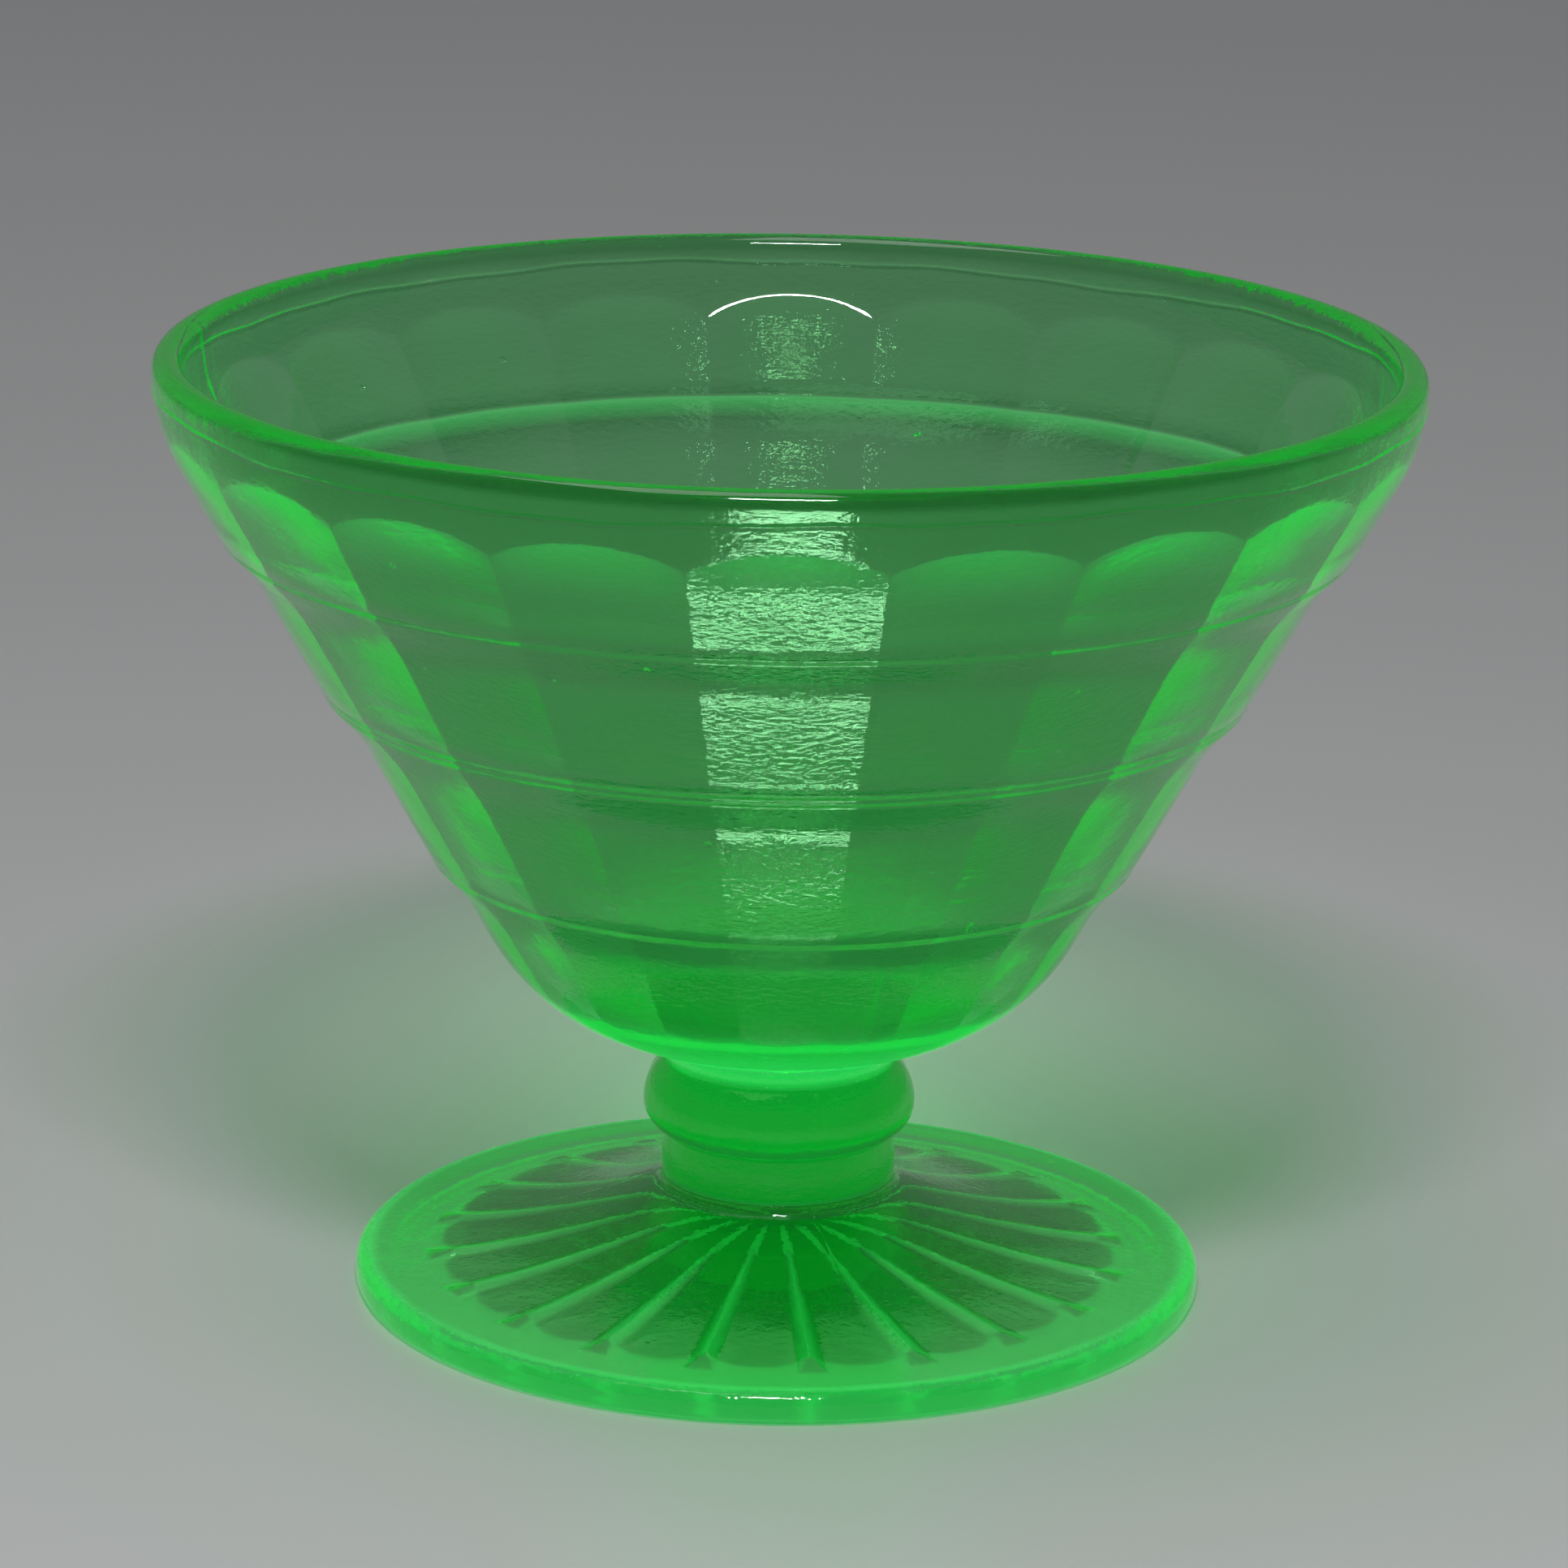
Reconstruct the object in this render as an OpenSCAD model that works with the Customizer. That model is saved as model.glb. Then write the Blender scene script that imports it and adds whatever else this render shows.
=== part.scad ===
// Low footed dessert dish in pressed uranium glass.
// The glass is one pressing. It is divided at its necks into the bowl, the knop, the collar and
// the foot, which meet face to face and are fused. +Z is up, the table is z = 0, and the axis of
// the pressing is the Z axis.

/* [Bowl] */
// Diameter of the bowl over its rim
rim_d = 100; // [84:0.5:120]
// Height of the bowl from the neck crease to the rim
bowl_h = 58.2; // [49:0.1:70]
// Height of the bowl's floor inside above the neck crease
floor_lift = 7.2; // [5.5:0.1:12]
// Thickness of the glass at the rim
rim_wall = 2.4; // [1.8:0.1:3.4]
// Lean of the outside wall away from the vertical, in degrees
wall_lean = 28.8; // [24:0.1:31]
// Radius of the barrel curve that turns the outside wall upright at the rim
barrel_r = 14.3; // [11:0.1:18]
// Radius of the rounded bottom of the bowl
bottom_r = 17; // [10:0.5:20]
// Height of the bowl's rounded bottom above the neck crease
bottom_lift = 2.4; // [2.2:0.1:4]
// Fillet between the bottom of the bowl and its neck
neck_fillet = 1.8; // [0.8:0.1:2]

/* [Rings] */
// Drop from the rim to the top ring line
ring_drop_top = 14.1; // [12:0.1:17]
// Drop from the rim to the middle ring line
ring_drop_mid = 27.1; // [25:0.1:30]
// Drop from the rim to the bottom ring line
ring_drop_low = 40.7; // [38:0.1:43]
// Height of the sloping shoulder under each ring line
shoulder_h = 2.5; // [1.5:0.1:3.2]
// Inward step of the shoulder under each ring line
shoulder_in = 2.4; // [1.6:0.1:2.9]

/* [Inside panels] */
// Number of flat upright panels round the inside of the bowl
panels = 20; // [16:2:24]
// Lean of the panels away from the vertical, in degrees
panel_lean = 32.6; // [30:0.1:34]
// Lean of the smooth mouth above the panels, in degrees
mouth_lean = 8.5; // [4:0.5:12]
// Height of the smooth mouth above the bend
mouth_h = 2.6; // [2:0.1:5]
// Radius of the bend between the mouth and the panels
mouth_bend = 11; // [8:0.5:14]
// Radius of the corner between the panels and the floor
floor_fillet = 6; // [4:0.5:8]

/* [Stem] */
// Diameter of the neck crease between the bowl and the knop
neck_d = 18.6; // [16:0.1:22]
// How far the knop stands out past the neck crease, on the radius
knop_out = 1.7; // [0.8:0.1:3]
// Height of the knop from its lower groove to the neck crease
knop_h = 5.9; // [5:0.1:7.1]
// Height of the widest part of the knop above its lower groove
knop_belly = 2.4; // [2:0.1:2.9]
// How far the groove under the knop goes in past the neck crease, on the radius
groove_in = 0.15; // [0:0.05:1]
// How far the collar stands out past the groove, on the radius
collar_out = 0.3; // [0.1:0.05:1.5]
// Height of the collar from the foot to the groove
collar_h = 3.7; // [3:0.1:4.6]

/* [Foot] */
// Diameter of the foot
foot_d = 68.5; // [57:0.5:82]
// Height of the foot from the table to the collar
foot_h = 9.2; // [8:0.1:11]
// Height of the foot's edge
edge_h = 2.7; // [2.2:0.1:3.2]
// Rounding of the upper corner of the foot's edge
edge_round = 1.2; // [0.6:0.1:1.4]
// Width of the small bevel under the foot's edge
edge_bevel = 0.5; // [0.3:0.1:0.8]
// Slope of the foot's hollow sweep where it reaches the collar, in degrees
sweep_lean = 26.5; // [20:0.5:34]
// Radius of the fillet between the foot and the collar
foot_fillet = 1.2; // [0.6:0.1:1.5]
// Width of the flat ring that the foot rests on
bearing_w = 2.2; // [1.5:0.1:3.5]
// Width of the slanted lip inside the resting ring
lip_w = 4.6; // [3:0.1:6]
// Depth of the hollow under the foot at the inner edge of the lip
hollow_h = 0.9; // [0.6:0.1:1.2]
// Depth of the hollow under the foot at its middle
hollow_mid_h = 2.8; // [2:0.1:3.4]

/* [Rays] */
// Number of rays pressed in the underside of the foot
rays = 20; // [16:2:24]
// Half the angle between the two faces of a ray's groove, in degrees
ray_half_angle = 49; // [40:1:55]
// Depth of a ray's groove at its outer end
ray_depth = 0.9; // [0.5:0.1:1]
// Depth of a ray's groove at its inner end
ray_depth_in = 0.35; // [0.2:0.05:0.6]
// Distance from the foot's edge to the outer end of a ray's crest
ray_margin = 8.2; // [6.5:0.1:10]
// Length of the sloping triangle that closes the outer end of a ray
ray_hip = 2.7; // [1.5:0.1:3]
// Turn of the rays against the bowl's panels, in degrees
ray_turn = 6; // [0:0.5:17]

/* [Hidden] */
$fn = 180;

// How far a cutter runs past the glass that it cuts
over = 5;
// Height of each joint between the sections above the table
collar_z = foot_h;
knop_z = collar_z + collar_h;
bowl_z = knop_z + knop_h;
rim_z = bowl_z + bowl_h;

// Radii of the sections
rim_r = rim_d / 2;
foot_r = foot_d / 2;
neck_r = neck_d / 2;
knop_r = neck_r + knop_out;
groove_r = neck_r - groove_in;
collar_r = groove_r + collar_out;

// The round rim, and where the barrel curve under it runs into the leaning wall
rim_round = rim_wall / 2;
rim_c = [rim_r - rim_round, rim_z - rim_round];
barrel_c = [rim_r - barrel_r, rim_c[1]];
barrel_end = barrel_c + barrel_r * [cos(wall_lean), -sin(wall_lean)];
wall_slope = tan(wall_lean);

// Direction of v as a vector of length 1
function unit(v) = v / norm(v);
// The corner where a line through p, leaning by a, meets a lower line through q, leaning by b
function corner_of(p, a, q, b) =
    let (z = (q[0] - p[0] + p[1] * tan(a) - q[1] * tan(b)) / (tan(a) - tan(b)))
    [p[0] + (z - p[1]) * tan(a), z];
// A point on a wall of the given slope, starting from point p and going down to height z
function down_wall(p, z) = [p[0] - (p[1] - z) * wall_slope, z];
// The foot of the shoulder under the ring line at point p
function under_shoulder(p) = [p[0] - shoulder_in, p[1] - shoulder_h];

ring_top = down_wall(barrel_end, rim_z - ring_drop_top);
waist_top = under_shoulder(ring_top);
ring_mid = down_wall(waist_top, rim_z - ring_drop_mid);
waist_mid = under_shoulder(ring_mid);
ring_low = down_wall(waist_mid, rim_z - ring_drop_low);
waist_low = under_shoulder(ring_low);

// The rounded bottom of the bowl, tangent to the wall and to the fillet round the neck
wall_end = down_wall(waist_low, bowl_z + bottom_lift + bottom_r * (1 - sin(wall_lean)));
bottom_c = wall_end + bottom_r * [-cos(wall_lean), sin(wall_lean)];
neck_c_r = neck_r + neck_fillet;
neck_c_in = max(0, neck_c_r - bottom_c[0]);
neck_c = [neck_c_r, bottom_c[1] - sqrt(pow(bottom_r + neck_fillet, 2) - pow(neck_c_in, 2))];
// The lower end of the rounded bottom, which is level when the bowl is wide for its neck
bottom_end = bottom_c + bottom_r * unit([neck_c_in, neck_c[1] - bottom_c[1]]);

// The smooth mouth inside the rim, the bend under it and the cone that holds the panels' corners.
// The mouth bites this far into the round rim, so that the two faces cross cleanly.
rim_bite = 0.05;
mouth_top = rim_c + (rim_round - rim_bite) * [-cos(mouth_lean), sin(mouth_lean)];
mouth_end = mouth_top - mouth_h * [tan(mouth_lean), 1];
bend_c = mouth_end + mouth_bend * [-cos(mouth_lean), sin(mouth_lean)];
cone_top = bend_c + mouth_bend * [cos(panel_lean), -sin(panel_lean)];
floor_z = bowl_z + floor_lift;
corner_c = [
    cone_top[0] - (cone_top[1] - floor_z) * tan(panel_lean)
        - floor_fillet * (1 / cos(panel_lean) - tan(panel_lean)),
    floor_z + floor_fillet
];
cone_end = corner_c + floor_fillet * [cos(panel_lean), -sin(panel_lean)];
// The panels' corners stay this much inside the cone, so that every corner is crisp
corner_inset = 0.08;
panel_r = (cone_top[0] - corner_inset) * cos(180 / panels);

// The hollow sweep of the foot's upper face, from its edge to the fillet under the collar
fillet_c = [collar_r + foot_fillet, foot_h];
sweep_in = fillet_c - foot_fillet * [sin(sweep_lean), cos(sweep_lean)];
sweep_out = [foot_r - edge_round, edge_h];
sweep_chord = norm(sweep_in - sweep_out);
sweep_tilt = atan((sweep_in[1] - sweep_out[1]) / (sweep_out[0] - sweep_in[0]));
sweep_r = sweep_chord / (2 * sin(sweep_lean - sweep_tilt));
sweep_c = sweep_in + sweep_r * [sin(sweep_lean), cos(sweep_lean)];

// The hollow under the foot, and the crest lines of its rays
hollow_r = foot_r - edge_bevel - bearing_w;
roof_out = [hollow_r - lip_w, hollow_h];
roof_in = [neck_r, hollow_mid_h];
roof_slope = (roof_in[1] - roof_out[1]) / (roof_out[0] - roof_in[0]);
crest_out_r = foot_r - ray_margin;
crest_out = [crest_out_r, hollow_h + (roof_out[0] - crest_out_r) * roof_slope + ray_depth];
crest_in = roof_in + [0, ray_depth_in];

// A right-hand profile turned into a solid of revolution
module turned() {
    rotate_extrude() children();
}

// Cutter for a corner that is rounded by the circle at c, which touches its two sides at a and b
module round_off(c, r, a, b) {
    difference() {
        polygon([c, c + 1.6 * (a - c), c + 1.6 * (b - c)]);
        translate(c) circle(r = r);
    }
}

// Outline of the bowl without its hollow, right of the axis
module bowl_outline() {
    difference() {
        polygon([
            [0, rim_z], [rim_r, rim_z], corner_of(rim_c + [rim_round, 0], 0, barrel_end, wall_lean),
            ring_top, waist_top, ring_mid, waist_mid, ring_low, waist_low,
            down_wall(waist_low, bottom_end[1]), [neck_c[0], bottom_end[1]], neck_c,
            [neck_r, neck_c[1]], [neck_r, bowl_z], [0, bowl_z]
        ]);
        // round rim
        difference() {
            translate([0, rim_c[1]]) square([rim_r + over, rim_z]);
            translate(rim_c) circle(r = rim_round);
        }
        // barrel curve under the rim
        round_off(barrel_c, barrel_r, [rim_r, rim_c[1]], barrel_end);
        // rounded bottom and neck fillet
        round_off(bottom_c, bottom_r, wall_end, bottom_end);
        translate(neck_c) circle(r = neck_fillet);
    }
}

// Outline of the bowl's hollow, right of the axis, which runs on past the rim
module hollow_outline() {
    mouth_foot = corner_of(mouth_end, mouth_lean, cone_top, panel_lean);
    difference() {
        polygon([
            [0, rim_z + over], [mouth_top[0], rim_z + over], mouth_top, mouth_foot,
            mouth_foot - (mouth_foot[1] - floor_z) * [tan(panel_lean), 1], [0, floor_z]
        ]);
        // bend under the mouth
        round_off(bend_c, mouth_bend, mouth_end, cone_top);
        // rounded corner round the floor
        round_off(corner_c, floor_fillet, cone_end, [corner_c[0], floor_z]);
    }
}

// The many-sided cone that the panels lie on, from under the floor to above the rim
module panel_cone() {
    low = [panel_r - (cone_top[1] - floor_z + over) * tan(panel_lean), floor_z - over];
    high = [panel_r + (rim_z + over - cone_top[1]) * tan(panel_lean), rim_z + over];
    to_corner = 1 / cos(180 / panels);
    translate([0, 0, low[1]])
        linear_extrude(height = high[1] - low[1], scale = high[0] / low[0])
            polygon([
                for (i = [0 : panels - 1])
                    let (a = (i + 0.5) * 360 / panels) low[0] * to_corner * [cos(a), sin(a)]
            ]);
}

module bowl_hollow() {
    intersection() {
        turned() hollow_outline();
        panel_cone();
    }
}

module bowl() {
    color([0.20, 0.80, 0.32, 0.6])
        difference() {
            turned() bowl_outline();
            bowl_hollow();
        }
}

module knop() {
    belly_z = knop_z + knop_belly;
    top_rise = knop_h - knop_belly;
    top_in = knop_r - neck_r;
    low_in = knop_r - groove_r;
    // radii of the two curves that meet upright at the belly
    top_curve = (top_rise * top_rise + top_in * top_in) / (2 * top_in);
    low_curve = (knop_belly * knop_belly + low_in * low_in) / (2 * low_in);
    color([0.16, 0.75, 0.28, 0.7])
        turned() {
            intersection() {
                translate([knop_r - top_curve, belly_z]) circle(r = top_curve);
                translate([knop_r - top_curve, belly_z]) square([top_curve + over, top_rise]);
            }
            translate([0, belly_z]) square([knop_r - top_curve, top_rise]);
            intersection() {
                translate([knop_r - low_curve, belly_z]) circle(r = low_curve);
                translate([knop_r - low_curve, knop_z]) square([low_curve + over, knop_belly]);
            }
            translate([0, knop_z]) square([knop_r - low_curve, knop_belly]);
        }
}

module collar() {
    // the collar swells from the groove to its full width over this part of its height
    swell_h = 0.45 * collar_h;
    color([0.14, 0.72, 0.27, 0.7])
        turned()
            polygon([
                [0, collar_z], [collar_r, collar_z], [collar_r, knop_z - swell_h],
                [groove_r, knop_z], [0, knop_z]
            ]);
}

// Outline of the foot without its hollow, right of the axis
module foot_outline() {
    difference() {
        square([sweep_out[0], foot_h]);
        translate(sweep_c) circle(r = sweep_r);
        translate(fillet_c) circle(r = foot_fillet);
    }
    // edge with its rounded upper corner and its bevel
    round_z = edge_h - edge_round;
    polygon([
        [sweep_out[0] - 1, 0], [foot_r - edge_bevel, 0], [foot_r, edge_bevel],
        [foot_r, round_z], [sweep_out[0] - 1, round_z]
    ]);
    translate([sweep_out[0], round_z]) circle(r = edge_round);
}

// Hollow under the foot, with a slanted lip inside the resting ring
module foot_hollow() {
    turned()
        polygon([
            [0, -over], [hollow_r, -over], [hollow_r, 0], roof_out, roof_in, [0, roof_in[1]]
        ]);
}

// The grooves of all the rays, closed at their outer ends by sloping triangles
module foot_rays() {
    crest_tilt = atan((crest_in[1] - crest_out[1]) / (crest_out[0] - crest_in[0]));
    groove_h = 3;
    half_w = groove_h * tan(ray_half_angle);
    hip_slope = (crest_out[1] - hollow_h / 2) / ray_hip;
    intersection() {
        for (i = [0 : rays - 1]) {
            rotate([0, 0, ray_turn + i * 360 / rays])
                translate([crest_in[0], 0, crest_in[1]])
                    rotate([0, crest_tilt, 0])
                        rotate([90, 0, 90])
                            linear_extrude(height = foot_r - crest_in[0])
                                polygon([[0, 0], [-half_w, -groove_h], [half_w, -groove_h]]);
        }
        turned()
            polygon([
                [0, -1], [crest_out[0] + (crest_out[1] + 1) / hip_slope, -1],
                [crest_out[0] - 2 / hip_slope, crest_out[1] + 2], [0, crest_out[1] + 2]
            ]);
    }
}

module foot() {
    color([0.18, 0.70, 0.30, 0.6])
        difference() {
            turned() foot_outline();
            foot_hollow();
            foot_rays();
        }
}

foot();
collar();
knop();
bowl();
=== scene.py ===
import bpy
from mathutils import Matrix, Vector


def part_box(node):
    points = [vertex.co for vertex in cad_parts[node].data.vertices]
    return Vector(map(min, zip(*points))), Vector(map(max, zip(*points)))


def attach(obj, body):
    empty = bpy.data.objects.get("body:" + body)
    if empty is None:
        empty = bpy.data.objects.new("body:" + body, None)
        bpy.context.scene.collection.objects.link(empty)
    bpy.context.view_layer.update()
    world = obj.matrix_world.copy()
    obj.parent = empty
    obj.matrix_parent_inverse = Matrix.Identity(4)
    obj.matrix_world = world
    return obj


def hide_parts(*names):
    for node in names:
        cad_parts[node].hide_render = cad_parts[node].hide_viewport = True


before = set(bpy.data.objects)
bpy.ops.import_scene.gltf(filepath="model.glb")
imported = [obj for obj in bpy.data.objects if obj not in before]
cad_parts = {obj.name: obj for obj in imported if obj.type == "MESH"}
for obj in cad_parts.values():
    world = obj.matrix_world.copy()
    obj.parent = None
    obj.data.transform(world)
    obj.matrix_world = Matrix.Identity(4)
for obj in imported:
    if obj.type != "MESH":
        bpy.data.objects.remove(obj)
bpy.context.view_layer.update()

import math

import bmesh
import bpy
from mathutils import Matrix, Vector


# ---------------------------------------------------------------------------------------------
# Bowl: a round pressed-glass cup with three stepped rings outside and twenty flat optic panels
# inside. It is green uranium glass, formed between an outer mould in three parts, which leaves
# three upright seams and a ring line, and a smooth plunger, which leaves the panels.
# ---------------------------------------------------------------------------------------------

# Every size below is in mm, and this turns it into the metres of the frame
MM = 0.001
# A column of points each degree; the three seams of the mould; twenty panels
TURN_STEPS = 360
SEAMS, SEAM_RISE = (48, 168, 288), 0.05
PANEL_TURN, PANEL_HALF = 18, 9

# Joints between the sections, and the hair's breadth that keeps two joint faces apart
FOOT_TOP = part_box("foot")[1].z / MM
GROOVE_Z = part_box("collar")[1].z / MM
CREASE_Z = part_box("knop")[1].z / MM
JOINT_GAP = 0.01
NECK_R, GROOVE_R = 9.3, 9.15
# Ring of points half-way in on each joint face
JOINT_MID_R = 4.5


def on_circle(centre, radius, degrees):
    """The point of a circle in the (r, z) plane at an angle from its r axis."""
    angle = math.radians(degrees)
    return (centre[0] + radius * math.cos(angle), centre[1] + radius * math.sin(angle))


def arc(centre, radius, start, end, steps):
    """Points on a circle in the (r, z) plane, from one angle in degrees to another."""
    return [on_circle(centre, radius, start + (end - start) * i / steps)
            for i in range(steps + 1)]


def straight(a, b, steps):
    """Points between a and b, without a and b themselves."""
    return [(a[0] + (b[0] - a[0]) * i / steps, a[1] + (b[1] - a[1]) * i / steps)
            for i in range(1, steps)]


def eased(before, corner, after, reach, steps=5):
    """A corner rounded off by a smooth curve that starts and ends this far from it."""
    def towards(p):
        away = math.hypot(p[0] - corner[0], p[1] - corner[1])
        return (corner[0] + (p[0] - corner[0]) * reach / away,
                corner[1] + (p[1] - corner[1]) * reach / away)
    a, b = towards(before), towards(after)
    points = []
    for i in range(steps + 1):
        t = i / steps
        points.append(tuple((1 - t) ** 2 * a[k] + 2 * t * (1 - t) * corner[k] + t * t * b[k]
                            for k in range(2)))
    return points


def soft_min(a, b, width):
    """The smaller of two lengths, with the crease where they meet rounded off."""
    return 0.5 * (a + b - math.sqrt((a - b) ** 2 + width ** 2))


def turned(outline, skins):
    """Spins an (r, z) outline in mm, which starts and ends on the axis, into a closed bmesh.
    skins gives each point's skin: 1 on the mould side, 0 on the plunger side or a joint.
    Every vertex keeps the number of its point, and has the values that the glass reads."""
    bm = bmesh.new()
    skin = bm.verts.layers.float.new("mould_side")
    for value in ("painted_glow", "painted_glow_inside", "deep"):
        bm.verts.layers.float.new(value)
    row = bm.verts.layers.int.new("row")
    chain = []
    for i, ((r, z), side) in enumerate(zip(outline, skins)):
        v = bm.verts.new((r * MM, 0, z * MM))
        v[skin] = side
        v[row] = i
        chain.append(v)
    edges = [bm.edges.new(pair) for pair in zip(chain, chain[1:])]
    bmesh.ops.spin(bm, geom=chain + edges, cent=(0, 0, 0), axis=(0, 0, 1), dvec=(0, 0, 0),
                   angle=math.tau, steps=TURN_STEPS, use_merge=True, use_normal_flip=False,
                   use_duplicate=False)
    # the points on the axis become one pole at each end
    poles = [v for v in bm.verts if v.co.xy.length < 1e-7]
    bmesh.ops.remove_doubles(bm, verts=poles, dist=1e-7)
    bmesh.ops.remove_doubles(bm, verts=bm.verts, dist=1e-9)
    bmesh.ops.recalc_face_normals(bm, faces=bm.faces)
    return bm


# Where the two columns nearest a seam are drawn to, in degrees from it
NEAR_SEAM = {1: 0.3, 2: 1.6}


def seam_turn(degrees):
    """Draws the columns next to each mould seam close to it, so that the seam is a thin line."""
    for seam in SEAMS:
        away = degrees - seam
        if abs(away) in NEAR_SEAM:
            return seam + math.copysign(NEAR_SEAM[abs(away)], away)
    return degrees


def finished(bm, name, node, materials, joint_rows):
    """Makes the bmesh a smooth piece that stands for a CAD node. Faces whose points all have
    these row numbers are its joints, which are flat and have the second material."""
    row = bm.verts.layers.int["row"]
    for face in bm.faces:
        face.smooth = True
        if all(v[row] in joint_rows for v in face.verts):
            face.material_index = 1
            face.smooth = False
    mesh = bpy.data.meshes.new(name)
    bm.to_mesh(mesh)
    bm.free()
    piece = bpy.data.objects.new(name, mesh)
    bpy.context.collection.objects.link(piece)
    for material in materials:
        mesh.materials.append(material)
    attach(piece, "root")
    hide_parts(node)


def pressed_skin():
    """Node group for the skin of glass pressed in an iron mould: its height and its roughness."""
    group = bpy.data.node_groups.new("pressed_skin", "ShaderNodeTree")
    for label, kind in (("Place", "NodeSocketVector"), ("Mould side", "NodeSocketFloat"),
                        ("Peel scale", "NodeSocketFloat"), ("Most haze", "NodeSocketFloat")):
        group.interface.new_socket(label, in_out="INPUT", socket_type=kind)
    for label in ("Height", "Roughness"):
        group.interface.new_socket(label, in_out="OUTPUT", socket_type="NodeSocketFloat")
    new, link = group.nodes.new, group.links.new
    given, made = new("NodeGroupInput"), new("NodeGroupOutput")

    # orange peel of the mould: ripples wider than they are high
    stretch = new("ShaderNodeMapping")
    stretch.inputs["Scale"].default_value = (1.0, 1.0, 2.2)
    link(given.outputs["Place"], stretch.inputs["Vector"])
    peel = new("ShaderNodeTexNoise")
    peel.inputs["Detail"].default_value = 2
    peel.inputs["Roughness"].default_value = 0.55
    link(stretch.outputs["Vector"], peel.inputs["Vector"])
    link(given.outputs["Peel scale"], peel.inputs["Scale"])
    peel_on = new("ShaderNodeMath")
    peel_on.operation = "MULTIPLY"
    link(peel.outputs["Fac"], peel_on.inputs[0])
    link(given.outputs["Mould side"], peel_on.inputs[1])

    # slow swell of cooling glass, on both sides
    swell = new("ShaderNodeTexNoise")
    swell.inputs["Scale"].default_value = 160
    swell.inputs["Detail"].default_value = 1
    link(given.outputs["Place"], swell.inputs["Vector"])
    waves = new("ShaderNodeMath")
    waves.operation = "MULTIPLY_ADD"
    waves.inputs[1].default_value = 1.6
    link(swell.outputs["Fac"], waves.inputs[0])
    link(peel_on.outputs[0], waves.inputs[2])

    # seeds: a few pinhead pits and bubbles at the surface
    seeds = new("ShaderNodeTexVoronoi")
    seeds.inputs["Scale"].default_value = 110
    link(given.outputs["Place"], seeds.inputs["Vector"])
    pit = new("ShaderNodeMapRange")
    pit.inputs["From Min"].default_value = 0.02
    pit.inputs["From Max"].default_value = 0.035
    pit.inputs["To Min"].default_value = -2.5
    pit.inputs["To Max"].default_value = 0
    link(seeds.outputs["Distance"], pit.inputs["Value"])
    height = new("ShaderNodeMath")
    height.operation = "ADD"
    link(waves.outputs[0], height.inputs[0])
    link(pit.outputs[0], height.inputs[1])
    link(height.outputs[0], made.inputs["Height"])

    # haze: years of washing, in soft clouds
    clouds = new("ShaderNodeTexNoise")
    clouds.inputs["Scale"].default_value = 55
    clouds.inputs["Detail"].default_value = 5
    link(given.outputs["Place"], clouds.inputs["Vector"])
    haze = new("ShaderNodeMapRange")
    haze.inputs["From Min"].default_value = 0.42
    haze.inputs["From Max"].default_value = 0.75
    haze.inputs["To Min"].default_value = 0.008
    link(clouds.outputs["Fac"], haze.inputs["Value"])
    link(given.outputs["Most haze"], haze.inputs["To Max"])
    link(haze.outputs[0], made.inputs["Roughness"])
    return group


skin_group = pressed_skin()


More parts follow.
